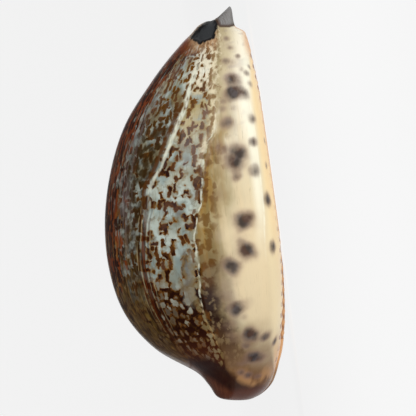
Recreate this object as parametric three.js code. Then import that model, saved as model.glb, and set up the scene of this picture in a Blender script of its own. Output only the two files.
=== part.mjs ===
// A cowrie shell: one hollow piece that rests on its base. Millimetres, +Z up.
// +Y points to the front end, with the siphon notch, and +X to the outer lip.
import * as THREE from "three";
import { mergeVertices } from "three/addons/utils/BufferGeometryUtils.js";

// Driving dimensions
const LENGTH = 70;
const WIDTH = 42;
const HEIGHT = 31;
const NOTCH = 2; // how far the notch at each end is set back from the tips of the lips
const HALF_SPAN = LENGTH / 2 - NOTCH;
const HALF_WIDTH = WIDTH / 2;

// The form, station by station from the front end to the rear. A station is an angle in degrees
// whose cosine gives its place along the length. Heights are shares of HEIGHT. The rest are shares
// of half the WIDTH: the slit's middle, the reach to the right and to the left, and half the slit.
const STATIONS = [
  // angle, crown, margin, base, middle, right, left, slit
  [0, 0.2, 0.2, 0.2, 0.05, 0.05, -0.05, 0],
  [5, 0.245, 0.19, 0.12, 0.05, 0.17, 0.08, 0.055],
  [10, 0.284, 0.185, 0.09, 0.055, 0.28, 0.19, 0.09],
  [20, 0.345, 0.18, 0.085, 0.065, 0.41, 0.33, 0.125],
  [25, 0.393, 0.178, 0.042, 0.07, 0.472, 0.396, 0.131],
  [30, 0.443, 0.175, 0.028, 0.075, 0.53, 0.46, 0.135],
  [45, 0.616, 0.2, 0.007, 0.085, 0.7, 0.66, 0.142],
  [60, 0.797, 0.225, -0.008, 0.09, 0.845, 0.82, 0.138],
  [75, 0.917, 0.24, -0.013, 0.09, 0.945, 0.94, 0.132],
  [90, 0.987, 0.25, -0.014, 0.085, 0.995, 0.995, 0.13],
  [105, 0.999, 0.25, -0.009, 0.07, 1.0, 1.0, 0.13],
  [120, 0.945, 0.255, 0.01, 0.04, 0.93, 0.945, 0.128],
  [135, 0.8, 0.275, 0.047, -0.01, 0.76, 0.8, 0.118],
  [150, 0.58, 0.32, 0.1, -0.08, 0.5, 0.57, 0.098],
  [160, 0.52, 0.355, 0.16, -0.115, 0.33, 0.42, 0.08],
  [170, 0.49, 0.4, 0.3, -0.135, 0.1, 0.27, 0.055],
  [180, 0.435, 0.435, 0.435, -0.145, -0.145, 0.145, 0],
];

// The lips run out into beaks at the ends. Along: angles from the end where a beak is longest and
// where it is lost. Around: angles from the slit where it starts to fade and where it is lost.
const FRONT_BEAK = { push: 2.35, peak: 9, lost: 20, fade: 40, faded: 105 };
const REAR_BEAK = { push: 2.3, peak: 13, lost: 32, fade: 60, faded: 190 };

// Roundness of a section: 2 is an ellipse, and more is squarer
const DOME = 2.15;
const UNDERSIDE = { right: 3.6, left: 3.1 };

// The outer lip stands clear of the surface towards the rear
const LIP_LIFT = { height: 0.65, from: 88, to: 128 };

// The hollow is the outside drawn in towards a point high inside the dome
const HOLLOW = { share: new THREE.Vector3(0.86, 0.89, 0.84), height: 0.65 * HEIGHT };

// The lips roll in at the slit, with teeth across them
const LIP_ROLL = 2.4;
const LIP_BULGE = 0.75; // how far a cubic curve swells, as a share of its handles
const TEETH = { pitch: 1.9, first: 26.6, count: 27, groove: 0.6, reach: 4.5 };

// How many steps each stretch of a section takes, and how many each end of the shell takes
const STEPS = { underside: 9, margin: 4, dome: 11, lip: 5, hollow: 16, end: 10 };
const MARGIN_TURN = { low: -12, high: 25 };
const END_CROWDING = 1.3; // above 1, stations crowd towards the ends

const { smoothstep, lerp, degToRad, radToDeg } = THREE.MathUtils;

const stationCurve = new THREE.CubicInterpolant(
  STATIONS.map((row) => row[0]),
  STATIONS.flatMap((row) => row.slice(1)),
  STATIONS[0].length - 1,
);

// The measures of the section at a station, in millimetres
function sectionAt(angle) {
  const [crown, margin, base, middle, right, left, slit] = stationCurve.evaluate(angle);
  const down = (margin - base) * HEIGHT;
  const lift = LIP_LIFT.height * smoothstep(angle, LIP_LIFT.from, LIP_LIFT.to);
  const front = angle < 90;
  const beak = front ? FRONT_BEAK : REAR_BEAK;
  const fromEnd = front ? angle : 180 - angle;
  const swell = smoothstep(fromEnd, 0, beak.peak) * (1 - smoothstep(fromEnd, beak.peak, beak.lost));
  return {
    along: HALF_SPAN * Math.cos(degToRad(angle)),
    beak,
    push: (front ? 1 : -1) * beak.push * swell,
    middle: middle * HALF_WIDTH,
    margin: margin * HEIGHT,
    up: (crown - margin) * HEIGHT,
    down: { right: down - Math.min(lift, down / 4), left: down },
    wide: { right: (right - middle) * HALF_WIDTH, left: (left + middle) * HALF_WIDTH },
    slit: slit * HALF_WIDTH,
    roll: Math.min(LIP_ROLL, slit * HALF_WIDTH),
  };
}

// A point of the outside, by its turn in degrees from the right margin over the crown
function outside(section, turn) {
  const cos = Math.cos(degToRad(turn));
  const sin = Math.sin(degToRad(turn));
  const side = Math.abs(turn) < 90 || turn === -90 ? "right" : "left";
  const wide = section.wide[side];
  const tall = sin > 0 ? section.up : section.down[side];
  const power = sin > 0 ? DOME : UNDERSIDE[side];
  const sum = (Math.abs(cos) / wide) ** power + (Math.abs(sin) / tall) ** power;
  const radius = wide > 0 && tall > 0 ? sum ** (-1 / power) : 0;
  const fromSlit = Math.abs(Math.abs(turn - 90) - 180);
  const share = 1 - smoothstep(fromSlit, section.beak.fade, section.beak.faded);
  return new THREE.Vector3(
    section.middle + radius * cos,
    section.along + section.push * share,
    section.margin + radius * sin,
  );
}

// A point of the hollow, drawn in from the outside
function inside(section, turn) {
  const middle = new THREE.Vector3(0, 0, HOLLOW.height);
  return outside(section, turn).sub(middle).multiply(HOLLOW.share).add(middle);
}

// The turn at which a lip starts to roll in: below 0 for the right one, past 180 for the left one
function lipTurn(section, side) {
  const start = section.slit + LIP_BULGE * section.roll;
  const turn = radToDeg(Math.atan2(section.down[side], start));
  return side === "right" ? -turn : 180 + turn;
}

// The depth of the groove between two teeth, from 0 on a tooth to 1. The lips' teeth alternate.
function toothGroove(along, side) {
  const place = (TEETH.first - along) / TEETH.pitch;
  if (place < 0 || place > TEETH.count) return 0;
  const wave = 0.5 - 0.5 * Math.cos(2 * Math.PI * place);
  return side === "right" ? wave : 1 - wave;
}

// One lip's rolled edge between the base and the hollow, without its two ends
function lipEdge(section, side) {
  const turn = lipTurn(section, side);
  const out = side === "right" ? 1 : -1;
  const start = outside(section, turn);
  const end = inside(section, turn);
  const inward = new THREE.Vector3(-out * section.roll, 0, 0);
  const handles = [start.clone().add(inward), end.clone().add(inward)];
  const curve = new THREE.CubicBezierCurve3(start, ...handles, end);
  const groove = TEETH.groove * toothGroove(section.along, side);
  const points = curve.getPoints(STEPS.lip).slice(1, -1);
  points.forEach((point, i) => {
    point.x += out * groove * Math.sin((Math.PI * (i + 1)) / STEPS.lip);
  });
  return points;
}

// Turns over the outside, from the right lip to the left one
function outsideTurns(section) {
  const { low, high } = MARGIN_TURN;
  const right = lipTurn(section, "right");
  const left = lipTurn(section, "left");
  const corners = [right, low, high, 180 - high, 180 - low, left];
  const steps = [STEPS.underside, STEPS.margin, STEPS.dome, STEPS.margin, STEPS.underside];
  const stretches = steps.map((count, i) =>
    Array.from({ length: count }, (_, n) => lerp(corners[i], corners[i + 1], (n + 1) / count)),
  );
  return [right, ...stretches.flat()];
}

// A point of the outside with the ends of the teeth cut into the base
function toothedOutside(section, turn, turns) {
  const point = outside(section, turn);
  const side = turn < 90 ? "right" : "left";
  const fromLip = side === "right" ? turn - turns[0] : turns.at(-1) - turn;
  const fade = 1 - smoothstep(degToRad(fromLip) * section.down[side], 0, TEETH.reach);
  point.z += 0.5 * TEETH.groove * fade * toothGroove(section.along, side);
  return point;
}

// The closed loop of points at one station: outside, left lip, hollow, right lip
function loopAt(angle) {
  const section = sectionAt(angle);
  const turns = outsideTurns(section);
  const skin = turns.map((turn) => toothedOutside(section, turn, turns));
  const lining = Array.from({ length: STEPS.hollow + 1 }, (_, n) =>
    inside(section, lerp(turns.at(-1), turns[0], n / STEPS.hollow)),
  );
  const leftLip = lipEdge(section, "left");
  const rightLip = lipEdge(section, "right").reverse();
  const loop = [...skin, ...leftLip, ...lining, ...rightLip];
  loop.forEach((point) => (point.z = Math.max(point.z, 0))); // worn flat where it rests
  return loop;
}

// Stations at every tooth and every groove, and crowded ones around the two ends
function stationAngles() {
  const angleOf = (along) => radToDeg(Math.acos(along / HALF_SPAN));
  const front = angleOf(TEETH.first);
  const rear = angleOf(TEETH.first - TEETH.count * TEETH.pitch);
  const crowded = Array.from({ length: STEPS.end }, (_, n) => (n / STEPS.end) ** END_CROWDING);
  const toothed = Array.from({ length: 2 * TEETH.count + 1 }, (_, n) =>
    angleOf(TEETH.first - (n * TEETH.pitch) / 2),
  );
  return [
    ...crowded.map((share) => front * share),
    ...toothed,
    ...crowded.map((share) => 180 - (180 - rear) * share).reverse(),
  ];
}

// Joins the loops into one closed surface, and drops the faces that close up at the two ends
function shellGeometry() {
  const loops = stationAngles().map(loopAt);
  const around = loops[0].length;
  const faces = [];
  for (let row = 0; row + 1 < loops.length; row++) {
    for (let n = 0; n < around; n++) {
      const a = row * around + n;
      const b = row * around + ((n + 1) % around);
      faces.push(a, b, a + around, b, b + around, a + around);
    }
  }
  const sheet = new THREE.BufferGeometry().setFromPoints(loops.flat()).setIndex(faces);
  const closed = mergeVertices(sheet, 1e-3);
  const corners = Array.from(closed.index.array);
  const kept = [];
  for (let i = 0; i < corners.length; i += 3) {
    const face = corners.slice(i, i + 3);
    if (new Set(face).size === 3) kept.push(...face);
  }
  return closed.setIndex(kept);
}

// Fits the form to the driving dimensions, with the middle of its footprint at the origin
function fitToSize(geometry) {
  geometry.computeBoundingBox();
  const { min, max } = geometry.boundingBox;
  geometry.translate(-(min.x + max.x) / 2, -(min.y + max.y) / 2, -min.z);
  geometry.scale(WIDTH / (max.x - min.x), LENGTH / (max.y - min.y), HEIGHT / (max.z - min.z));
  geometry.computeVertexNormals();
  return geometry;
}

const glaze = new THREE.MeshStandardMaterial({ color: 0xb39a78, roughness: 0.25, metalness: 0 });

const shell = new THREE.Mesh(fitToSize(shellGeometry()), glaze);
shell.name = "shell";

const cowrie = new THREE.Group();
cowrie.add(shell);

export default cowrie;
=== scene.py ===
import math
import random
from types import SimpleNamespace

import bmesh
import bpy
from mathutils import Matrix, Vector, kdtree, noise


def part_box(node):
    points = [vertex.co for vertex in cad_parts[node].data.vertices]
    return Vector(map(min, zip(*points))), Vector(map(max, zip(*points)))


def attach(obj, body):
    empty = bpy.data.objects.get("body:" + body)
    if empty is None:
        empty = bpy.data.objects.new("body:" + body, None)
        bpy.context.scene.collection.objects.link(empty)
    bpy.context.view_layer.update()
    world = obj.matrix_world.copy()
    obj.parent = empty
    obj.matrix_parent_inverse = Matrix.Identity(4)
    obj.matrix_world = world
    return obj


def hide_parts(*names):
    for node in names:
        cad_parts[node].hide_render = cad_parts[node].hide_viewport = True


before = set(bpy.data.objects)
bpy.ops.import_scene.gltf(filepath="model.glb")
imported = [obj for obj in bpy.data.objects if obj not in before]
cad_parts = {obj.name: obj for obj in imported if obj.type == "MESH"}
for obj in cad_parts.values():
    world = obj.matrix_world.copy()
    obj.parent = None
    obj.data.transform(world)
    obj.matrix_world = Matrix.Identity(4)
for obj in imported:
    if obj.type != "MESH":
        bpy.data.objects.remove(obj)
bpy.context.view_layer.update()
print("frame loaded:", sorted(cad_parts))


# helpers

def smoothStep(value, low, high):
    share = min(max((value - low) / (high - low), 0), 1)
    return share * share * (3 - 2 * share)


def mix(a, b, share):
    return a + (b - a) * share


def bell(distance, width):
    return math.exp(-(distance / width) ** 2)


# a smooth curve through rows of (place, value, value, ...)
def curveThrough(rows, place):
    last = len(rows) - 1
    place = min(max(place, rows[0][0]), rows[last][0])
    n = next((n for n in range(1, last) if place < rows[n][0]), last)
    start, end = rows[n - 1], rows[n]
    before = rows[n - 2] if n > 1 else end
    after = rows[n + 1] if n < last else start
    half = (end[0] - start[0]) / 2
    pull = half / (start[0] - before[0]) if n > 1 else 0.5
    push = half / (after[0] - end[0]) if n < last else 0.5
    share = (place - start[0]) / (end[0] - start[0])
    square, cube = share ** 2, share ** 3
    weights = [
        -pull * share * (share - 1) ** 2,
        (1 + pull) * cube - (1.5 + 2 * pull) * square + (pull - 0.5) * share + 1,
        -(1 + push) * cube + (1.5 + push) * square + 0.5 * share,
        push * square * (share - 1),
    ]
    columns = zip(before[1:], start[1:], end[1:], after[1:])
    return [sum(weight * value for weight, value in zip(weights, values)) for values in columns]


# the shell's form, in mm

shellForm = {
    "length": 70, "width": 42, "height": 31, "notch": 2,
    "stations": [
        # angle, crown, margin, base, middle, right, left, slit
        (0, 0.2, 0.2, 0.2, 0.05, 0.05, -0.05, 0),
        (5, 0.245, 0.19, 0.12, 0.05, 0.17, 0.08, 0.055),
        (10, 0.284, 0.185, 0.09, 0.055, 0.28, 0.19, 0.09),
        (20, 0.345, 0.18, 0.085, 0.065, 0.41, 0.33, 0.125),
        (25, 0.393, 0.178, 0.042, 0.07, 0.472, 0.396, 0.131),
        (30, 0.443, 0.175, 0.028, 0.075, 0.53, 0.46, 0.135),
        (45, 0.616, 0.2, 0.007, 0.085, 0.7, 0.66, 0.142),
        (60, 0.797, 0.225, -0.008, 0.09, 0.845, 0.82, 0.138),
        (75, 0.917, 0.24, -0.013, 0.09, 0.945, 0.94, 0.132),
        (90, 0.987, 0.25, -0.014, 0.085, 0.995, 0.995, 0.13),
        (105, 0.999, 0.25, -0.009, 0.07, 1.0, 1.0, 0.13),
        (120, 0.945, 0.255, 0.01, 0.04, 0.93, 0.945, 0.128),
        (135, 0.8, 0.275, 0.047, -0.01, 0.76, 0.8, 0.118),
        (150, 0.58, 0.32, 0.1, -0.08, 0.5, 0.57, 0.098),
        (160, 0.52, 0.355, 0.16, -0.115, 0.33, 0.42, 0.08),
        (170, 0.49, 0.4, 0.3, -0.135, 0.1, 0.27, 0.055),
        (180, 0.435, 0.435, 0.435, -0.145, -0.145, 0.145, 0),
    ],
    "frontBeak": {"push": 2.35, "peak": 9, "lost": 20, "fade": 40, "faded": 105},
    "rearBeak": {"push": 2.3, "peak": 13, "lost": 32, "fade": 60, "faded": 190},
    "dome": 2.15, "undersideRight": 3.6, "undersideLeft": 3.1,
    "lipLift": 0.65, "lipLiftFrom": 88, "lipLiftTo": 128,
    "hollowShare": (0.86, 0.89, 0.84), "hollowHeight": 20.15,
    "lipRoll": 2.4, "lipBulge": 0.75,
    "toothPitch": 1.9, "toothFirst": 26.6, "toothCount": 27, "toothGroove": 0.6, "toothReach": 4.5,
    "marginLow": -12,
    # mesh steps
    "along": 312, "lining": 8, "lip": 10, "underside": 24, "domeSteps": 230,
}


def sectionAt(angle):
    form = shellForm
    crown, margin, base, middle, right, left, slit = curveThrough(form["stations"], angle)
    halfSpan = form["length"] / 2 - form["notch"]
    halfWidth = form["width"] / 2
    down = (margin - base) * form["height"]
    lift = form["lipLift"] * smoothStep(angle, form["lipLiftFrom"], form["lipLiftTo"])
    front = angle < 90
    beak = form["frontBeak"] if front else form["rearBeak"]
    fromEnd = angle if front else 180 - angle
    swell = smoothStep(fromEnd, 0, beak["peak"]) * (1 - smoothStep(fromEnd, beak["peak"], beak["lost"]))
    return {
        "along": halfSpan * math.cos(math.radians(angle)),
        "beak": beak,
        "push": (1 if front else -1) * beak["push"] * swell,
        "middle": middle * halfWidth,
        "margin": margin * form["height"],
        "up": (crown - margin) * form["height"],
        "down": {1: down - min(lift, down / 4), -1: down},
        "wide": {1: (right - middle) * halfWidth, -1: (left + middle) * halfWidth},
        "slit": slit * halfWidth,
        "roll": min(form["lipRoll"], slit * halfWidth),
    }


# a point of the outside, by its turn in degrees from the right margin over the crown
def outsidePoint(section, turn):
    cos, sin = math.cos(math.radians(turn)), math.sin(math.radians(turn))
    side = 1 if abs(turn) < 90 or turn == -90 else -1
    wide = section["wide"][side]
    tall = section["up"] if sin > 0 else section["down"][side]
    power = shellForm["dome"]
    if sin <= 0:
        power = shellForm["undersideRight"] if side > 0 else shellForm["undersideLeft"]
    radius = 0
    if wide > 1e-9 and tall > 1e-9:
        radius = ((abs(cos) / wide) ** power + (abs(sin) / tall) ** power) ** (-1 / power)
    beak = section["beak"]
    fromSlit = abs(abs(turn - 90) - 180)
    share = 1 - smoothStep(fromSlit, beak["fade"], beak["faded"])
    return Vector((section["middle"] + radius * cos,
                   section["along"] + section["push"] * share,
                   section["margin"] + radius * sin))


def insidePoint(section, turn):
    point = outsidePoint(section, turn)
    sx, sy, sz = shellForm["hollowShare"]
    deep = shellForm["hollowHeight"]
    return Vector((point.x * sx, point.y * sy, deep + (point.z - deep) * sz))


def lipTurn(section, side):
    start = section["slit"] + shellForm["lipBulge"] * section["roll"]
    turn = math.degrees(math.atan2(section["down"][side], start))
    return -turn if side > 0 else 180 + turn


# 0 on a tooth, 1 in the groove between two
def toothGroove(along, side):
    place = (shellForm["toothFirst"] - along) / shellForm["toothPitch"]
    if place < 0 or place > shellForm["toothCount"]:
        return 0
    wave = 0.5 - 0.5 * math.cos(2 * math.pi * place)
    return wave if side > 0 else 1 - wave


# the rolled edge from the hollow down to the base, both ends left out
def lipPoints(section, side):
    turn = lipTurn(section, side)
    start, end = insidePoint(section, turn), outsidePoint(section, turn)
    inward = Vector((-side * section["roll"], 0, 0))
    groove = shellForm["toothGroove"] * toothGroove(section["along"], side)
    steps = shellForm["lip"]
    points = []
    for n in range(1, steps):
        share = n / steps
        rest = 1 - share
        point = (start * rest ** 3 + (start + inward) * 3 * share * rest ** 2
                 + (end + inward) * 3 * share ** 2 * rest + end * share ** 3)
        point.x += side * groove * math.sin(math.pi * share)
        points.append(point)
    return points


# one station's loop, from the hollow's crown over the right lip, the dome and the left lip:
# a list of (point, part, turn), where a lip has its share of the roll in place of the turn
def loopAt(angle):
    form = shellForm
    section = sectionAt(angle)
    right, left = lipTurn(section, 1), lipTurn(section, -1)
    low = form["marginLow"]
    stretches = [(right, low, form["underside"]), (low, 180 - low, form["domeSteps"]),
                 (180 - low, left, form["underside"])]
    turns = [right]
    for start, end, steps in stretches:
        turns += [mix(start, end, n / steps) for n in range(1, steps + 1)]
    loop = []
    for n in range(form["lining"] + 1):
        turn = mix(90, right, n / form["lining"])
        loop.append((insidePoint(section, turn), "lining", turn))
    rolls = [1 - n / form["lip"] for n in range(1, form["lip"])]
    loop += [(point, "lip", roll) for point, roll in zip(lipPoints(section, 1), rolls)]
    for turn in turns:
        point = outsidePoint(section, turn)
        side = 1 if turn < 90 else -1
        fromLip = turn - right if side > 0 else left - turn
        fade = 1 - smoothStep(math.radians(fromLip) * section["down"][side], 0, form["toothReach"])
        point.z += 0.5 * form["toothGroove"] * fade * toothGroove(section["along"], side)
        loop.append((point, "skin", turn))
    loop += [(point, "lip", roll) for point, roll in zip(lipPoints(section, -1), rolls)][::-1]
    for n in range(form["lining"] + 1):
        turn = mix(left, 90, n / form["lining"])
        loop.append((insidePoint(section, turn), "lining", turn))
    # worn flat where it rests
    for point, part, turn in loop:
        point.z = max(point.z, 0)
    return loop


# where things lie on the shell, as its right side shows them: (along, height) in mm

shellLines = {
    "calluses": {
        1: [(-30, 12.6), (-27.9, 13.0), (-25.7, 13.1), (-22.8, 13.9), (-20.7, 14.7), (-17.2, 15.5),
            (-14.5, 15.5), (-11.6, 15.2), (-8.6, 15.0), (-4.4, 15.1), (-1.1, 14.1), (1.7, 13.1),
            (4.5, 12.4), (7.8, 11.8), (11.0, 10.9), (13.1, 9.1), (16.2, 8.2), (19.8, 7.9),
            (22.4, 7.6), (25.9, 6.6), (29.1, 6.2)],
        -1: [(-30, 13), (-26, 13.8), (-21, 15.5), (-15, 15.1), (-9, 16.2), (-3, 15.4), (3, 14.6),
             (9, 14.8), (14, 12.6), (19, 10.9), (24, 9.1), (29, 6.6)],
    },
    "band": [(-26, 20.4), (-22.5, 24.1), (-19.5, 26.2), (-12.7, 28.3), (-4, 28.2), (3.4, 27.2),
             (11, 25.3), (17.2, 21.6), (23.8, 16.2), (29, 11.2)],
    "mantle": [(-26, 19.0), (-24.8, 19.9), (-22.2, 21.3), (-18.3, 22.9), (-14.5, 24.1), (-10.9, 24.6),
               (-7.2, 24.6), (-2.1, 23.8), (1.5, 22.7), (5.2, 21.8), (7.7, 20.0), (10.6, 18.2),
               (13.9, 16.4), (17.7, 14.0), (21.8, 12.3), (25.2, 10.6), (27.8, 9.4)],
    "ridge": [(-26, 4.6), (-17.9, 3.8), (-12.5, 3.4), (-7.1, 3.1), (-2.7, 2.6), (1.8, 2.4), (6.3, 2.3),
              (10.8, 2.2), (14.5, 2.2), (18.1, 2.3), (22.6, 1.8), (27.9, 1.3)],
    "nose": [(-25.6, 18.6), (-26.6, 17.6), (-28.3, 16.0), (-29.5, 14.3), (-31.9, 12.4), (-34.0, 9.3),
             (-34.6, 7.2)],
    "recess": [(30.3, 10.7), (29.2, 9.5), (29.7, 6.9), (32.5, 5.7), (33.2, 6.8), (31.6, 9.4)],
    "prong": [(31.4, 5.5), (33.2, 6.0), (35.8, 3.4), (35.4, 1.8), (31.6, 2.0), (31.1, 3.8)],
    # the marks of the two ends lie beyond these places
    "noseBefore": -8, "tipPast": 26,
    # how far the callus edge strays, how often, and how far apart the two sides' noises are
    "wander": 0.35, "wanderPace": 0.45, "wanderApart": 5,
    # from crown to margin, on the map that the marks are drawn on
    "mapGirth": 33,
    # where a lip turns from skin to lining, as a share of its roll
    "liningFrom": 0.4, "liningTo": 0.9,
    # what isn't measured counts as this far from a line
    "far": 20,
}

# low relief on the skin, in mm
shellRelief = {
    "callus": 0.22, "callusFrom": -0.25, "callusTo": 0.45, "ridge": 0.1, "ridgeWidth": 0.6,
    "mantle": 0.09, "mantleWidth": 0.35, "recess": 0.3, "recessFrom": -0.2, "recessTo": 0.7,
    "end": 34, "endFade": 5, "baseFade": 1.5,
}

# the right side's spots: along, height, radius, depth
callusSpots = [
    (27.4, 4.2, 0.7, 0.4), (25.2, 5.3, 0.8, 0.5), (24.6, 4.4, 0.7, 0.35), (22.0, 4.6, 1.2, 0.8),
    (19.3, 4.8, 1.15, 1.0), (18.2, 6.8, 0.7, 0.4), (16.9, 7.0, 0.8, 0.4), (14.5, 6.6, 1.0, 0.55),
    (10.5, 8.6, 0.9, 0.4), (9.8, 7.9, 0.9, 0.5), (9.0, 5.2, 1.4, 0.85), (7.7, 6.2, 1.4, 0.85),
    (6.0, 6.5, 0.8, 0.5), (4.9, 6.2, 0.8, 0.6), (17.8, 1.6, 0.7, 0.7), (14.4, 2.1, 0.7, 0.7),
    (10.3, 2.5, 0.7, 0.8), (5.4, 3.1, 0.9, 0.65), (0.1, 1.5, 0.8, 1.0), (-2.9, 6.1, 1.4, 0.95),
    (-8.3, 6.8, 1.35, 1.0), (-10.8, 9.2, 1.2, 0.9), (-8.3, 1.6, 0.8, 0.9), (-17.8, 9.5, 1.2, 0.85),
    (-19.6, 8.6, 0.8, 0.4), (-22.7, 7.4, 1.1, 1.0), (-24.8, 8.6, 0.7, 0.5), (-23.7, 5.2, 0.7, 0.85),
    (-24.6, 3.7, 0.8, 0.85), (-27.0, 7.6, 1.3, 1.0), (-29.2, 10.1, 0.6, 0.6), (-30.0, 9.2, 0.6, 0.6),
    (-30.3, 7.4, 0.6, 0.5), (10.6, 0.5, 0.5, 0.6), (5.8, 0.9, 0.5, 0.6), (23.4, 2.9, 0.6, 0.35),
    (-13.4, 10.4, 1.6, 0.3), (-15.6, 10.2, 1.6, 0.34), (-20.6, 10.4, 1.5, 0.3), (-22.6, 10.6, 1.5, 0.26),
    (-6.0, 7.0, 1.6, 0.22), (-4.9, 11.0, 1.2, 0.22), (2.4, 10.2, 1.3, 0.2), (29.1, 4.7, 0.5, 0.45),
    (27.4, 4.2, 0.5, 0.5), (25.7, 3.1, 0.4, 0.6), (25.4, 1.7, 0.5, 0.4), (23.5, 1.6, 0.5, 0.6),
    (22.6, 2.2, 0.6, 0.6), (20.6, 1.6, 0.6, 0.5), (16.9, 5.0, 0.9, 0.3),
]

# the left side's spots are drawn by lot, each between these limits
leftSpots = {
    "seed": 7, "count": 34,
    "limits": [(-29, 27), (2, 10), (0.6, 1.4), (0.5, 1)],
}

spotShape = {
    # how far along the shell a spot's place is looked for, and how far it has to face sideways
    "slice": 0.4, "outward": 0.2,
    "reach": 3.5, "spread": 1.3, "ragged": 0.5, "raggedPace": 0.4,
}


# how far down the side a line of that height lies, as an arc from the crown
def arcAtHeight(arcs, heights, height):
    for n in range(1, len(heights)):
        if heights[n] < height:
            share = (heights[n - 1] - height) / max(heights[n - 1] - heights[n], 1e-6)
            return mix(arcs[n - 1], arcs[n], min(max(share, 0), 1))
    return arcs[-1]


# distance from a path, less than 0 on its right hand
def pathDistance(x, y, path):
    best, hand = math.inf, 1
    for (ax, ay), (bx, by) in zip(path, path[1:]):
        dx, dy = bx - ax, by - ay
        share = min(max(((x - ax) * dx + (y - ay) * dy) / (dx * dx + dy * dy), 0), 1)
        distance = math.hypot(x - ax - dx * share, y - ay - dy * share)
        if distance < best:
            best, hand = distance, 1 if dx * (y - ay) > dy * (x - ax) else -1
    return best * hand


# how deep a place lies inside a patch, less than 0 outside it
def patchDepth(x, y, corners):
    inside = False
    ring = corners + corners[:1]
    for (ax, ay), (bx, by) in zip(ring, ring[1:]):
        if (ay > y) != (by > y) and x < ax + (y - ay) / (by - ay) * (bx - ax):
            inside = not inside
    depth = abs(pathDistance(x, y, ring))
    return depth if inside else -depth


# what a point knows about its place; these values hold wherever it isn't measured
shellFacts = {
    "along": 0, "height": 0, "mapAlong": 0, "mapAround": 0,
    "edge": shellLines["far"], "band": shellLines["far"], "mantle": shellLines["far"],
    "ridge": shellLines["far"], "nose": -shellLines["far"], "recess": -shellLines["far"],
    "prong": -shellLines["far"], "seam": -1, "lining": 1, "tooth": 0, "spot": 0,
}


def measureStation(angle, loop):
    lines = shellLines
    section = sectionAt(angle)
    mapAlong = (shellForm["length"] / 2 - shellForm["notch"]) * math.radians(90 - angle)
    skin = [n for n, entry in enumerate(loop) if entry[1] == "skin"]
    crown = min(skin, key=lambda n: abs(loop[n][2] - 90))
    along = loop[crown][0].y
    facts = [dict(shellFacts, along=point.y, height=point.z) for point, part, turn in loop]
    for n, (point, part, turn) in enumerate(loop):
        if part == "lip":
            facts[n]["lining"] = smoothStep(turn, lines["liningFrom"], lines["liningTo"])
            facts[n]["tooth"] = toothGroove(point.y, 1 if n < crown else -1)
    for side in (1, -1):
        order = [n for n in skin if n <= crown][::-1] if side > 0 else [n for n in skin if n >= crown]
        arcs, heights = [0], [loop[crown][0].z]
        for a, b in zip(order, order[1:]):
            arcs.append(arcs[-1] + (loop[b][0] - loop[a][0]).length)
            heights.append(loop[b][0].z)
        drift = Vector((along * lines["wanderPace"], lines["wanderApart"] * side, 0))
        stray = lines["wander"] * noise.noise(drift)
        edge = arcAtHeight(arcs, heights, curveThrough(lines["calluses"][side], along)[0]) + stray
        band, mantle, ridge = [arcAtHeight(arcs, heights, curveThrough(lines[name], along)[0])
                               for name in ("band", "mantle", "ridge")]
        marginTurn = 0 if side > 0 else 180
        margin = min(range(len(order)), key=lambda i: abs(loop[order[i]][2] - marginTurn))
        shrink = lines["mapGirth"] / max(arcs[margin], 1)
        # the seam is where the skin is lowest, so the teeth are left out of its height
        untoothed = [max(outsidePoint(section, loop[n][2]).z, 0) for n in order]
        for n, arc, over in zip(order, arcs, untoothed):
            fact = facts[n]
            x, y = fact["along"], fact["height"]
            fact.update(lining=0, mapAlong=mapAlong, mapAround=side * arc * shrink, edge=arc - edge,
                        band=arc - band, ridge=arc - ridge, seam=over - min(untoothed))
            fact["mantle"] = arc - mantle if side > 0 else lines["far"]
            fromLip = arcs[-1] - arc
            fact["tooth"] = toothGroove(x, side) * (1 - smoothStep(fromLip, 0, shellForm["toothReach"]))
            if x < lines["noseBefore"]:
                fact["nose"] = -pathDistance(x, y, lines["nose"])
            if x > lines["tipPast"]:
                fact["recess"] = patchDepth(x, y, lines["recess"])
                fact["prong"] = patchDepth(x, y, lines["prong"])
    return facts


def makeShell():
    form = shellForm
    angles = [180 * n / form["along"] for n in range(form["along"] + 1)]
    loops = [loopAt(angle) for angle in angles]
    facts = [measureStation(angle, loop) for angle, loop in zip(angles, loops)]
    columns = len(loops[0]) - 1
    bm = bmesh.new()
    layers = {name: bm.verts.layers.float.new(name) for name in shellFacts}
    bmesh.ops.create_grid(bm, x_segments=columns, y_segments=form["along"], size=1)
    for vert in bm.verts:
        column = round((vert.co.x + 1) / 2 * columns)
        row = round((vert.co.y + 1) / 2 * form["along"])
        vert.co = loops[row][column][0]
        for name, value in facts[row][column].items():
            vert[layers[name]] = value
    bmesh.ops.remove_doubles(bm, verts=bm.verts, dist=1e-4)
    bmesh.ops.recalc_face_normals(bm, faces=bm.faces)
    bm.normal_update()
    placeSpots(bm, layers)
    raiseRelief(bm, layers)
    fitToBox(bm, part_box("shell"))
    for face in bm.faces:
        face.smooth = True
    mesh = bpy.data.meshes.new("cowrie_shell")
    bm.to_mesh(mesh)
    bm.free()
    shell = bpy.data.objects.new("cowrie_shell", mesh)
    bpy.context.scene.collection.objects.link(shell)
    print("shell made:", len(mesh.vertices), "points,", len(mesh.polygons), "faces")
    return shell


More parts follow.
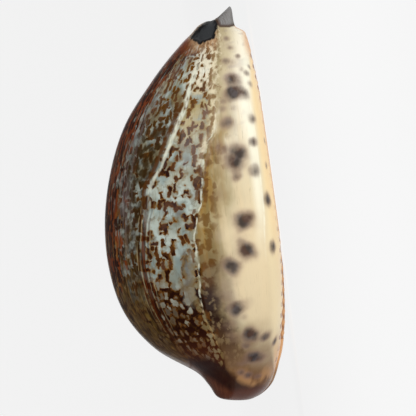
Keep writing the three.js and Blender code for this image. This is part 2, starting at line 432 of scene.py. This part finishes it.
def placeSpots(bm, layers):
    shape = spotShape
    skin = [v for v in bm.verts if v[layers["lining"]] < 0.5]
    tree = kdtree.KDTree(len(skin))
    for n, vert in enumerate(skin):
        tree.insert(vert.co, n)
    tree.balance()
    dice = random.Random(leftSpots["seed"])
    drawn = [[dice.uniform(*limits) for limits in leftSpots["limits"]] for n in range(leftSpots["count"])]
    for side, spots in ((1, callusSpots), (-1, drawn)):
        facing = [v for v in skin if v.normal.x * side > shape["outward"]]
        for along, height, radius, depth in spots:
            near = [v for v in facing if abs(v.co.y - along) < shape["slice"]]
            place = min(near, key=lambda v: (v.co.y - along) ** 2 + (v.co.z - height) ** 2).co.copy()
            for co, n, distance in tree.find_range(place, shape["reach"] * radius):
                ragged = 1 + shape["ragged"] * noise.noise(co * shape["raggedPace"])
                value = depth * bell(distance * ragged, shape["spread"] * radius)
                vert = skin[n]
                vert[layers["spot"]] = max(vert[layers["spot"]], value)


def raiseRelief(bm, layers):
    relief = shellRelief
    for vert in bm.verts:
        if vert[layers["lining"]] > 0.5:
            continue
        clear = smoothStep(relief["end"] - abs(vert.co.y), 0, relief["endFade"])
        high = smoothStep(vert.co.z, 0, relief["baseFade"])
        rise = relief["callus"] * smoothStep(vert[layers["edge"]], relief["callusFrom"], relief["callusTo"])
        rise += relief["ridge"] * bell(vert[layers["ridge"]], relief["ridgeWidth"])
        rise -= relief["mantle"] * bell(vert[layers["mantle"]], relief["mantleWidth"])
        rise *= clear * high
        dip = smoothStep(vert[layers["recess"]], relief["recessFrom"], relief["recessTo"])
        rise -= relief["recess"] * dip
        vert.co += vert.normal * rise


def fitToBox(bm, box):
    low, high = box
    near = Vector([min(v.co[i] for v in bm.verts) for i in range(3)])
    far = Vector([max(v.co[i] for v in bm.verts) for i in range(3)])
    for vert in bm.verts:
        shares = [(vert.co[i] - near[i]) / (far[i] - near[i]) for i in range(3)]
        vert.co = Vector([mix(low[i], high[i], shares[i]) for i in range(3)])


# a socket that can be used in sums; add() makes any other node

class Shade:
    def __init__(self, tree, socket=None):
        self.tree = tree
        self.socket = socket

    def add(self, kind, settings, sockets, out=0):
        node = self.tree.nodes.new("ShaderNode" + kind)
        for name, value in settings.items():
            setattr(node, name, value)
        for name, value in sockets.items():
            if isinstance(value, Shade):
                self.tree.links.new(value.socket, node.inputs[name])
            else:
                node.inputs[name].default_value = value
        return Shade(self.tree, node.outputs[out]) if node.outputs else None

    # another output of the same node
    def twin(self, out):
        return Shade(self.tree, self.socket.node.outputs[out])

    def math(self, operation, a, b, c=0.0):
        return self.add("Math", {"operation": operation}, {0: a, 1: b, 2: c})

    def vector(self, operation, other=(0, 0, 0), third=(0, 0, 0), out=0):
        return self.add("VectorMath", {"operation": operation}, {0: self, 1: other, 2: third}, out)

    def __add__(self, other):
        return self.math("ADD", self, other)

    def __sub__(self, other):
        return self.math("SUBTRACT", self, other)

    def __rsub__(self, other):
        return self.math("SUBTRACT", other, self)

    def __mul__(self, other):
        return self.math("MULTIPLY", self, other)

    __radd__ = __add__
    __rmul__ = __mul__

    def most(self, other):
        return self.math("MAXIMUM", self, other)

    def size(self):
        return self.math("ABSOLUTE", self, 0.0)

    # 0 up to one value and 1 from the other on, whichever of the two is larger
    def step(self, none, full):
        return self.add("MapRange", {"interpolation_type": "SMOOTHSTEP"},
                        {"Value": self, "From Min": none, "From Max": full})

    # 1 from the second value to the third, and 0 below the first and above the fourth
    def between(self, low, lowFull, highFull, high):
        return self.step(low, lowFull) * self.step(high, highFull)

    # 1 close to a value, and 0 where it is further off than none
    def near(self, value, none, full):
        return (self - value).size().step(none, full)

    # carried up and down by a noise
    def stray(self, other, far):
        return self + (other - 0.5) * far

    # a mix of two colours, each one a socket or the name of a tint
    def blend(self, a, b):
        a, b = [shellTints[colour] if isinstance(colour, str) else colour for colour in (a, b)]
        return self.add("Mix", {"data_type": "RGBA"}, {0: self, 6: a, 7: b}, out=2)

    def fact(self, name):
        return self.add("Attribute", {"attribute_name": name}, {}, out="Fac")

    def noise(self, place, scale=1.0, detail=2.0, rough=0.5):
        return self.add("TexNoise", {},
                        {"Vector": place, "Scale": scale, "Detail": detail, "Roughness": rough})

    # a place moved about by a noise over the map
    def wander(self, flat, scale, far):
        return self.noise(flat, scale).twin("Color").vector("MULTIPLY_ADD", far, self)


# a colour as the screen shows it, 0 to 255
def tint(red, green, blue):
    return [(v / 255 / 12.92 if v < 10.3 else ((v / 255 + 0.055) / 1.055) ** 2.4)
            for v in (red, green, blue)] + [1]


shellTints = {
    "groundBlue": tint(128, 142, 138), "groundPale": tint(184, 196, 188), "groundLilac": tint(104, 97, 92),
    "groundOlive": tint(150, 130, 76), "groundGold": tint(180, 160, 110), "groundGrey": tint(122, 113, 95),
    "groundDim": tint(66, 40, 12), "groundRust": tint(112, 64, 32), "moss": tint(136, 106, 48),
    "fringe": tint(120, 96, 50), "smudge": tint(92, 70, 42), "smudgeDark": tint(52, 36, 12),
    "markDark": tint(34, 8, 1), "markBrown": tint(84, 48, 16), "markGold": tint(126, 82, 22),
    "markOlive": tint(70, 42, 6), "markLilac": tint(86, 66, 62), "markRust": tint(82, 36, 12),
    "streakDark": tint(44, 14, 2), "streakRed": tint(124, 56, 16), "streakGold": tint(150, 108, 50),
    "streakBrown": tint(92, 38, 8), "streakPale": tint(158, 140, 112), "veil": tint(130, 116, 116),
    "mantlePale": tint(226, 228, 208), "thread": tint(176, 156, 116), "besideGold": tint(108, 66, 18),
    "rimWarm": tint(200, 160, 104),
    "cream": tint(222, 208, 174), "creamOlive": tint(150, 132, 88), "creamWarm": tint(230, 208, 168),
    "creamPale": tint(250, 242, 220), "hairline": tint(150, 134, 100), "washGold": tint(148, 114, 54),
    "washOlive": tint(134, 112, 66), "edgeGreyBrown": tint(114, 96, 70), "rearTanAndShade": tint(128, 94, 60),
    "ridgeHighlight": tint(254, 251, 228),
    "basePale": tint(254, 235, 190), "baseWarm": tint(252, 222, 168), "baseTan": tint(224, 164, 106),
    "lining": tint(216, 206, 214), "tooth": tint(134, 74, 40),
    "spotDark": tint(36, 28, 30), "spotBlue": tint(66, 60, 64), "spotRed": tint(70, 36, 20),
    "spotHalo": tint(142, 112, 100), "spotHaze": tint(150, 134, 134),
    "noseDark": tint(42, 16, 12), "noseBrown": tint(116, 68, 44), "noseRed": tint(92, 46, 28),
    "noseOchre": tint(168, 124, 80), "noseOlive": tint(104, 68, 36), "capTan": tint(176, 138, 100),
    "charcoal": tint(58, 60, 62), "black": tint(20, 18, 18), "beakGrey": tint(142, 141, 140),
    "beakDark": tint(76, 56, 44),
}

# marks in the map of (along, around), in mm
scriptPlan = {
    "dashPitch": (2.2, 1.7), "dashHalf": (1.05, 0.2), "dashShare": 0.7, "dashShift": 0.0,
    "linkPitch": (2.1, 2.4), "linkHalf": (0.14, 0.95), "linkShare": 0.52, "linkShift": 5.3,
    "linePitch": (5.5, 0.8), "lineHalf": (2.6, 0.16), "lineShare": 0.9, "lineShift": 9.1,
    "round": 0.29, "melt": 0.45, "scatter": 0.95, "shortest": 0.1, "dropOut": 2.0,
    "lacePitch": (2.0, 1.25), "laceLeast": 0.12, "laceMore": 0.42, "laceScatter": 0.9,
}

glazeFinish = {
    "roughness": 0.36, "roughGrain": 0.2, "roughDull": 0.3, "coat": 0.13, "coatDull": 0.1,
    "coatRoughness": 0.06, "specular": 0.08, "bump": 0.1, "bumpDepth": 0.0002,
}


# what the regions of the glaze read: a point's facts, the map of the marks, and noises over it
def readMap(make):
    at = SimpleNamespace(**{name: make.fact(name) for name in shellFacts})
    at.flat = make.add("CombineXYZ", {}, {0: at.mapAlong, 1: at.mapAround, 2: 0.0})
    # wandering copies of the map, so that nothing runs dead straight
    at.sway = at.flat.wander(at.flat, 0.3, (1.4, 1.1, 0))
    at.quiver = at.sway.wander(at.flat, 0.75, (0.9, 1.0, 0))
    at.quiver = at.quiver.wander(at.flat.vector("ADD", (9, 4, 0)), 1.5, (0.8, 0.8, 0))
    at.cloud = make.noise(at.flat, 0.16, 3.0)
    at.patch = make.noise(at.flat.vector("ADD", (31, 7, 3)), 0.3)
    at.golden = make.noise(at.flat.vector("ADD", (5, 41, 0)), 0.22, 3.0).step(0.46, 0.62)
    at.tone = make.noise(at.flat, 0.5)
    at.grain = make.noise(at.flat, 2.4, 3.0)
    at.blotch = make.noise(at.quiver, 0.7, 3.0)
    at.fine = drawnOut(at, 0.35, 3.0, 0.0, 3.0)
    at.broken = drawnOut(at, 0.5, 0.8, 3.0, 3.0)
    at.streak = drawnOut(at, 0.08, 0.9, 0.0, 4.0, 0.6)
    at.thread = drawnOut(at, 0.14, 3.0, 7.0, 3.0)
    return at


# a noise that is drawn out over the map
def drawnOut(at, x, y, shift=0.0, detail=2.0, rough=0.5):
    place = at.sway.vector("MULTIPLY_ADD", (x, y, 1), (shift, shift, shift))
    return place.noise(place, 1.0, detail, rough)


# dashes, one to a cell: less than 0 inside a dash
def dashes(at, kind, share):
    plan = scriptPlan
    pitch, half, shift = [plan[kind + name] for name in ("Pitch", "Half", "Shift")]
    place = at.quiver.vector("MULTIPLY_ADD", (1 / pitch[0], 1 / pitch[1], 1), (shift, shift, shift))
    cell = place.add("TexVoronoi", {"distance": "CHEBYCHEV", "voronoi_dimensions": "2D"},
                     {"Vector": place, "Scale": 1.0, "Randomness": plan["scatter"]}, out="Position")
    luck = cell.twin("Color")
    dropped = (luck.add("SeparateXYZ", {}, {0: luck}, out="Z") - share).most(0.0) * plan["dropOut"]
    away = place.vector("SUBTRACT", cell).vector("ABSOLUTE").vector("MULTIPLY", (*pitch, 0))
    least = Vector((*half, 0)) * plan["shortest"]
    more = Vector((*half, 0)) * (1 - plan["shortest"])
    over = away.vector("SUBTRACT", luck.vector("MULTIPLY_ADD", more, least)).vector("MAXIMUM")
    return over.vector("LENGTH", out="Value") - plan["round"] + dropped


# the script of the back, which closes up into lace towards the rear
def drawMarks(make, at):
    plan = scriptPlan
    crowd = (at.patch - 0.5) * 3.0 + at.along.step(8.0, 16.0) * 0.15
    strokes = dashes(at, "dash", crowd + plan["dashShare"])
    links = dashes(at, "link", crowd + plan["linkShare"])
    script = make.math("SMOOTH_MIN", strokes, links, plan["melt"])
    at.lines = dashes(at, "line", plan["lineShare"])

    pitch = plan["lacePitch"]
    place = at.quiver.vector("MULTIPLY", (1 / pitch[0], 1 / pitch[1], 1))
    hole = make.add("TexVoronoi", {"voronoi_dimensions": "2D"},
                    {"Vector": place, "Scale": 1.0, "Randomness": plan["laceScatter"]})
    luck = make.add("SeparateXYZ", {}, {0: hole.twin("Color")})
    at.holeLuck = luck.twin("Y")
    at.holeDepth = luck * plan["laceMore"] + plan["laceLeast"] - hole
    lace = (at.holeDepth * 1.1).stray(at.blotch, 0.6).stray(make.noise(at.quiver, 1.3), 0.7)

    at.rear = at.along.stray(at.cloud, 14).step(-8.0, -17.0)
    at.depth = (script + (lace - script) * at.rear).stray(at.grain, 0.16)
    bareAlong = at.along.stray(at.cloud, 12).between(-18.0, -15.0, -9.0, -5.0)
    at.bare = bareAlong * at.edge.stray(at.tone, 3).near(-1.9, 1.6, 0.7)
    at.mark = at.depth.step(0.09, -0.06) * (1 - at.bare)
    at.pale = at.edge.step(-1.9, -0.5) * at.along.step(3.0, 12.0)


def paintGround(at):
    along, edge, mantle, rear = at.along, at.edge, at.mantle, at.rear
    ground = at.cloud.step(0.42, 0.62).blend("groundPale", "groundBlue")
    ground = (at.patch.step(0.5, 0.7) * 0.7).blend(ground, "groundLilac")
    ground = (at.blotch.step(0.5, 0.72) * 0.75).blend(ground, "smudge")
    ground = (at.bare * 0.7).blend(ground, "groundLilac")
    ground = (at.golden * (along.step(2.0, 12.0) * 0.4 + 0.2)).blend(ground, "groundOlive")
    ground = (rear * 0.6).blend(ground, "groundGrey")
    dim = (at.holeLuck + mantle.step(6.0, 1.0) * 0.4).step(0.3, 0.8)
    ground = (rear * dim * 0.8).blend(ground, "groundDim")
    ground = (rear * mantle.step(1.0, -2.0) * at.tone.step(0.3, 0.6) * 0.8).blend(ground, "moss")
    ground = (along.step(-18.0, -27.0) * 0.7).blend(ground, "groundRust")
    ground = (edge.step(-2.5, 0.2) * along.step(6.0, -2.0) * 0.5).blend(ground, "groundOlive")
    gold = along.step(8.0, 16.0) * mantle.step(-1.0, 1.0) * at.tone.step(0.3, 0.55)
    ground = (gold * 0.75).blend(ground, "groundGold")
    ground = (along.step(18.0, 23.0) * mantle.step(-2.0, 0.5) * 0.65).blend(ground, "creamPale")
    ground = (at.pale * 0.85).blend(ground, "cream")
    ground = (at.fine.step(0.55, 0.7) * 0.25).blend(ground, "smudge")
    fringe = at.depth.step(0.5, 0.0) * at.blotch.step(0.3, 0.6) * (0.7 - rear * 0.5)
    return fringe.blend(ground, "fringe")


def paintMarks(at):
    along, depth, rear = at.along, at.depth, at.rear
    marks = depth.step(0.02, -0.16).most(rear * 0.8).blend("markGold", "markBrown")
    marks = (depth.step(-0.03, -0.22) * (at.tone + rear * 0.3).step(0.38, 0.6)).blend(marks, "markDark")
    marks = (along.step(8.0, 18.0) * 0.4).blend(marks, "markGold")
    marks = (rear * at.blotch.step(0.5, 0.64) * 0.7).blend(marks, "markOlive")
    marks = (at.patch.step(0.52, 0.6) * along.step(-14.0, -8.0) * 0.3).blend(marks, "markLilac")
    marks = (along.step(-20.0, -27.0) * 0.7).blend(marks, "markRust")
    return (at.pale * 0.7).blend(marks, "markGold")


def paintCrown(at, ground):
    crown = at.streak.step(0.4, 0.62).blend("streakRed", "streakBrown")
    crown = (at.golden * at.along.step(14.0, -10.0) * 0.8).blend(crown, "streakGold")
    crown = at.lines.step(0.14, -0.06).blend(crown, "streakDark")
    wisp = (at.thread + at.rear * 0.05).step(0.58, 0.66)
    crown = (wisp * (at.rear * 0.3 + 0.4)).blend(crown, "streakPale")
    fleck = at.holeDepth.step(0.12, 0.26) * at.blotch.step(0.46, 0.6)
    return (fleck * 0.7).blend(crown, ground)


# marks on their ground; above the mantle line it darkens, and long lines close over the crown
def paintBack(at):
    along, band, mantle, rear, thread = at.along, at.band, at.mantle, at.rear, at.thread
    ground = paintGround(at)
    back = (at.mark * (1 - at.pale * 0.45)).blend(ground, paintMarks(at))
    above = mantle.between(-11.0, -7.0, -1.5, 0.5) * along.step(24.0, 12.0)
    darker = (at.blotch.step(0.3, 0.6) * 0.6 + 0.33) * (1 - rear * 0.4)
    back = (above * darker).blend(back, "smudgeDark")
    moss = drawnOut(at, 0.3, 0.7, 11.0, 3.0)
    mossy = above * along.step(4.0, -8.0)
    back = (mossy * moss.step(0.5, 0.62) * 0.35).blend(back, "moss")
    back = (mossy * moss.step(0.42, 0.34) * 0.3).blend(back, "streakBrown")
    behind = above * along.step(0.0, -10.0)
    back = (behind * at.lines.step(0.14, -0.06) * 0.3).blend(back, "streakDark")
    back = (behind * thread.step(0.56, 0.64) * 0.3).blend(back, "groundGrey")
    veil = band.between(-1.0, 0.8, 1.0, 4.5) * thread.step(0.42, 0.58) * along.step(-9.0, 1.0)
    back = (veil * 0.5).blend(back, "veil")
    amber = band.step(5.0, 1.0) * along.step(0.0, -9.0) * thread.step(0.46, 0.58)
    back = (amber * 0.25).blend(back, "streakGold")
    fromCrown = band.stray(at.streak, 10).stray(thread, 6).stray(at.tone, 7) + rear * 6.0
    back = fromCrown.step(1.4, -1.4).blend(back, paintCrown(at, ground))
    return paintMantle(at, back)


# the mantle line: a pale stripe beside a brown one in front, thin lines beside a groove behind
def paintMantle(at, back):
    along, thread = at.along, at.thread
    bend = at.mantle.stray(drawnOut(at, 0.3, 0.1), 0.7)
    off = bend.size()
    front = along.step(-3.0, 6.0)
    behind = 1 - front
    groove = (off.step(0.6, 0.35) + off.near(1.05, 0.25, 0.1) * 0.6) * behind
    grooveTint = thread.step(0.4, 0.6).blend("markDark", "streakBrown")
    back = (groove * along.step(-25.0, -16.0) * 0.85).blend(back, grooveTint)
    stripe = bend.near(-1.0, 0.6, 0.3) * front * along.step(22.0, 16.0)
    back = (stripe * at.broken.step(0.25, 0.5) * 0.85).blend(back, "markBrown")
    trail = off.near(0.66, 0.16, 0.06).most(off.near(1.45, 0.2, 0.08)) * behind
    trail = trail * thread.step(0.44, 0.6) * along.step(-25.0, -12.0)
    back = (trail * 0.55).blend(back, "thread")
    shine = bend.near(0.2, 0.62, 0.14) * front * along.step(27.5, 23.0) * at.broken.step(0.28, 0.56)
    return (shine * (along.step(-2.0, 14.0) * 0.5 + 0.4)).blend(back, "mantlePale")


def paintCallus(make, at):
    along, edge, ridge, cloud = at.along, at.edge, at.ridge, at.cloud
    fromEdge = edge.stray(cloud, 5) + along.step(8.0, 18.0) * 4
    cream = fromEdge.step(1.0, 9.0).blend("creamOlive", "cream")
    # whiter towards the front and the base side: partly the callus's own colour, partly painted light
    cream = (along.step(2.0, 18.0) * edge.step(1.5, 4.5) * 0.9).blend(cream, "creamPale")
    sheen = make.noise(at.flat.vector("MULTIPLY", (0.05, 0.5, 1))).step(0.4, 0.7)
    cream = (sheen * along.size().step(25.0, 14.0) * 0.5).blend(cream, "creamWarm")
    hair = make.noise(at.flat.vector("MULTIPLY", (0.06, 1.1, 1)), 1.0, 3.0)
    cream = (hair.near(0.5, 0.02, 0.0) * at.tone.step(0.4, 0.6) * 0.32).blend(cream, "hairline")
    wash = drawnOut(at, 0.25, 0.6, 5.0).step(0.3, 0.54) * edge.stray(cloud, 6).step(6.0, 1.0)
    washTint = hair.step(0.4, 0.6).blend("washGold", "washOlive")
    cream = (wash * along.step(17.0, 9.0) * 0.95).blend(cream, washTint)
    # greyer brown near the callus edge in the rear half
    edgeGreyBrown = edge.stray(cloud, 7).step(7.0, 1.5) * along.step(-3.0, -13.0)
    cream = (edgeGreyBrown * 0.85).blend(cream, "edgeGreyBrown")
    # the marks of the back show through near the edge
    faded = at.depth.step(0.32, -0.1) * edge.stray(at.tone, 5).step(5.0, 1.8) * along.step(18.0, 4.0)
    fadedTint = (at.rear * 0.6 + 0.4).blend("markGold", "markDark")
    cream = (faded * (along.step(-4.0, -12.0) * 0.25 + 0.72)).blend(cream, fadedTint)
    haze = drawnOut(at, 0.34, 0.16, 4.0, 1.0).step(0.5, 0.7) * along.step(9.0, 16.0)
    haze = haze * edge.step(0.8, 2.2) * ridge.step(0.5, -1.0)
    cream = (haze * 0.6).blend(cream, "spotHaze")
    glow = edge.step(5.0, 8.0) * along.between(-27.0, -20.0, -4.0, 6.0)
    cream = (glow * 0.7).blend(cream, "creamWarm")
    # tan towards the rear: partly the callus's own colour, partly painted shade
    cream = (along.stray(cloud, 6).step(-19.0, -29.0) * 0.85).blend(cream, "rearTanAndShade")
    # a painted highlight along the ridge, fading towards the rear
    return (ridge.near(-0.7, 1.6, 0.1) * along.step(-12.0, 4.0) * 0.75).blend(cream, "ridgeHighlight")


# the callus over the back, with a ragged edge that is softer in front, and what lies along it
def joinCallus(make, at):
    along = at.along
    front = along.step(12.0, 19.0)
    ragged = at.edge.stray(make.noise(at.flat, 0.9, 3.0), front * 2.6 + 1.2) + front * 0.4
    colour = ragged.step(-0.15, front * 0.8 + 0.55).blend(paintBack(at), paintCallus(make, at))
    border = at.edge.stray(at.broken, 0.8).size()
    beside = border.near(0.75, 0.5, 0.25) * drawnOut(at, 0.5, 0.3, 12.0).step(0.5, 0.58)
    besideTint = at.tone.step(0.4, 0.6).blend("markBrown", "besideGold")
    colour = (beside * along.between(-25.0, -20.0, 6.0, 14.0) * 0.8).blend(colour, besideTint)
    # a pale line along the callus edge: partly its own colour, partly a painted highlight on the edge
    rim = border.step(0.24, 0.05) * drawnOut(at, 0.7, 0.5, 8.0).step(0.38, 0.58)
    rimTint = along.step(-14.0, -20.0).blend("mantlePale", "rimWarm")
    return (rim * along.between(-26.0, -21.0, 11.0, 17.0) * 0.75).blend(colour, rimTint)


def paintBase(make, at, colour):
    along, height, ridge, seam = at.along, at.height, at.ridge, at.seam
    below = ridge.step(-0.4, 1.6) * (along.step(-14.0, 0.0) * 0.6 + 0.4)
    colour = below.blend(colour, height.step(2.4, 0.6).blend("basePale", "baseWarm"))
    # a thin broken painted highlight on the ridge line
    crestHighlight = ridge.size().step(0.28, 0.05) * at.broken.step(0.3, 0.6) * along.step(-12.0, -2.0)
    colour = (crestHighlight * 0.6).blend(colour, "ridgeHighlight")
    colour = (ridge.step(0.0, 2.0) * along.step(-22.0, -29.0) * 0.6).blend(colour, "baseTan")
    lip = along.step(24.0, 28.0) * height.step(2.3, 1.0)
    colour = (seam.step(0.35, 0.0).most(lip) * 0.85).blend(colour, "baseTan")
    # short dashes in step with the teeth
    toothed = make.math("SINE", along * (2 * math.pi / shellForm["toothPitch"]), 0.0).step(-0.1, 0.7)
    toothed = toothed * at.broken.step(0.36, 0.56) * (along.step(0.0, -10.0) * 0.65 + 0.15)
    return (seam.near(0.3, 0.35, 0.1) * toothed).blend(colour, "tooth")


# the dark nose at the rear and the tan cap in front
def paintEnds(at, colour):
    along, cloud, blotch = at.along, at.cloud, at.blotch
    nose = at.nose.stray(cloud, 1.6)
    ochre = cloud.step(0.42, 0.62).blend("noseOchre", "noseOlive")
    colour = (along.step(-27.6, -31.0) * nose.step(0.4, -0.8)).blend(colour, ochre)
    rust = at.streak.step(0.4, 0.6).blend("noseBrown", "noseRed")
    colour = (nose.step(0.0, 0.8) * along.step(-25.5, -28.5)).blend(colour, rust)
    colour = (nose.near(-0.5, 2.2, 0.8) * along.step(-25.0, -27.0) * 0.95).blend(colour, "noseDark")
    colour = (along.step(-31.6, -33.2) * 0.8).blend(colour, "noseRed")
    cap = at.band.step(-1.4, 1.6).blend("streakRed", "capTan")
    cap = (blotch.step(0.5, 0.62) * 0.5).blend(cap, "streakDark")
    capShare = along.stray(blotch, 6).step(26.5, 29.0) * at.edge.step(0.6, -0.6)
    return (capShare * 0.85).blend(colour, cap)


def paintSpots(make, at, colour):
    spot = at.spot * (at.tone + 0.5)
    core = make.noise(at.flat, 0.6, 1.0).step(0.4, 0.62).blend("spotDark", "spotBlue")
    core = (make.noise(at.flat, 0.26, 1.0).step(0.5, 0.58) * 0.7).blend(core, "spotRed")
    colour = (spot.step(0.02, 0.45) * 0.5).blend(colour, "spotHalo")
    return (spot.step(0.2, 0.9) * 0.92).blend(colour, core)


# the dark pit and the grey prong at the front
def paintTip(at, colour):
    colour = at.pit.step(-0.45, -0.1).blend(colour, "black")
    colour = (at.pit.step(0.1, 0.5) * (at.grain * 0.6 + 0.5)).blend(colour, "charcoal")
    colour = at.prong.step(-0.3, 0.1).blend(colour, "beakDark")
    return (at.prong.step(0.05, 0.75) * at.fine.step(0.2, 0.6)).blend(colour, "beakGrey")


def paintLips(at, colour):
    colour = at.lining.step(0.2, 0.8).blend(colour, "lining")
    return (at.tooth * 0.8).blend(colour, "tooth")


def shellGlaze():
    material = bpy.data.materials.new("shell_glaze")
    material.use_nodes = True
    material.node_tree.nodes.clear()
    make = Shade(material.node_tree)
    at = readMap(make)
    drawMarks(make, at)
    colour = joinCallus(make, at)
    colour = paintBase(make, at, colour)
    colour = paintEnds(at, colour)
    colour = paintSpots(make, at, colour)
    at.pit = at.recess.stray(at.tone, 1.0).stray(at.grain, 0.4)
    colour = paintTip(at, colour)
    colour = paintLips(at, colour)

    finish = glazeFinish
    dull = at.pit.step(-0.4, 0.3).most(at.prong.step(-0.3, 0.3))
    bump = make.add("Bump", {}, {"Strength": finish["bump"], "Distance": finish["bumpDepth"],
                                 "Height": at.fine})
    glaze = make.add("BsdfPrincipled", {}, {
        "Base Color": colour, "Normal": bump,
        "Roughness": (dull * finish["roughDull"] + finish["roughness"]).stray(at.fine, finish["roughGrain"]),
        "Coat Weight": finish["coat"] - dull * finish["coatDull"],
        "Coat Roughness": finish["coatRoughness"], "Specular IOR Level": finish["specular"],
    })
    make.add("OutputMaterial", {}, {"Surface": glaze})
    return material


shell = makeShell()
shell.data.materials.append(shellGlaze())
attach(shell, "root")
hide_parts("shell")
print("shell dressed")


# studio, in m

studio = {
    "floorRadius": 1.6, "wallBend": 0.3, "wallHeight": 0.42, "bendSteps": 8, "turnSteps": 64,
    "paperTint": 0.12, "paperGlow": 0.84, "airGlow": 0.12,
    "cameraDistance": 1.5, "frameWidth": 0.0744, "elevation": 0.4, "roll": 7.9,
    "aim": (0, -0.0001, 0.0119), "lightAim": (0, 0, 0.012),
    # place, size, power
    "lights": {
        "key": ((0.75, 0.5, 0.35), (0.4, 0.4), 4.2),
        "fill": ((0.9, -0.5, 0.3), (0.6, 0.5), 1.6),
    },
}


def makeFloor():
    bm = bmesh.new()
    reach, bend, steps = studio["floorRadius"], studio["wallBend"], studio["bendSteps"]
    profile = [(0, 0), (reach / 2, 0), (reach, 0)]
    for n in range(1, steps + 1):
        angle = math.pi / 2 * n / steps
        profile.append((reach + bend * math.sin(angle), bend - bend * math.cos(angle)))
    profile.append((reach + bend, studio["wallHeight"]))
    verts = [bm.verts.new((x, 0, z)) for x, z in profile]
    edges = [bm.edges.new(pair) for pair in zip(verts, verts[1:])]
    bmesh.ops.spin(bm, geom=verts + edges, cent=(0, 0, 0), axis=(0, 0, 1), angle=2 * math.pi,
                   steps=studio["turnSteps"], use_merge=True)
    bmesh.ops.remove_doubles(bm, verts=bm.verts, dist=1e-5)
    bmesh.ops.recalc_face_normals(bm, faces=bm.faces)
    for face in bm.faces:
        face.smooth = True
    mesh = bpy.data.meshes.new("studio_floor")
    bm.to_mesh(mesh)
    bm.free()
    floor = bpy.data.objects.new("studio_floor", mesh)
    bpy.context.scene.collection.objects.link(floor)
    material = bpy.data.materials.new("studio_paper")
    material.use_nodes = True
    paper = material.node_tree.nodes["Principled BSDF"]
    pale = studio["paperTint"]
    paper.inputs["Base Color"].default_value = (pale, pale, pale, 1)
    paper.inputs["Roughness"].default_value = 1
    paper.inputs["Specular IOR Level"].default_value = 0
    paper.inputs["Emission Color"].default_value = (1, 1, 1, 1)
    paper.inputs["Emission Strength"].default_value = studio["paperGlow"]
    mesh.materials.append(material)


def makeLights():
    for name, (place, size, power) in studio["lights"].items():
        data = bpy.data.lights.new(name, "AREA")
        data.shape = "RECTANGLE"
        data.size, data.size_y = size
        data.energy = power
        light = bpy.data.objects.new(name, data)
        light.location = place
        toAim = Vector(studio["lightAim"]) - Vector(place)
        light.rotation_euler = toAim.to_track_quat("-Z", "Y").to_euler()
        bpy.context.scene.collection.objects.link(light)
    world = bpy.data.worlds.new("studio_air")
    world.use_nodes = True
    air = world.node_tree.nodes["Background"]
    air.inputs["Color"].default_value = (1, 1, 1, 1)
    air.inputs["Strength"].default_value = studio["airGlow"]
    bpy.context.scene.world = world


# level with the shell's right side, and rolled so that the shell stands on its rear end
def makeCamera():
    data = bpy.data.cameras.new("camera")
    data.lens = data.sensor_width * studio["cameraDistance"] / studio["frameWidth"]
    data.clip_start = 0.01
    camera = bpy.data.objects.new("camera", data)
    tilt = math.radians(studio["elevation"])
    roll = math.radians(studio["roll"])
    back = Vector((math.cos(tilt), 0, math.sin(tilt)))
    down = Vector((math.sin(tilt), 0, -math.cos(tilt)))
    up = Vector((0, math.cos(roll), 0)) + down * math.sin(roll)
    turn = Matrix((up.cross(back), up, back)).transposed()
    place = Vector(studio["aim"]) + back * studio["cameraDistance"]
    camera.matrix_world = Matrix.Translation(place) @ turn.to_4x4()
    bpy.context.scene.collection.objects.link(camera)
    bpy.context.scene.camera = camera


makeFloor()
makeLights()
makeCamera()
bpy.context.scene.view_settings.view_transform = "Standard"
print("studio ready")
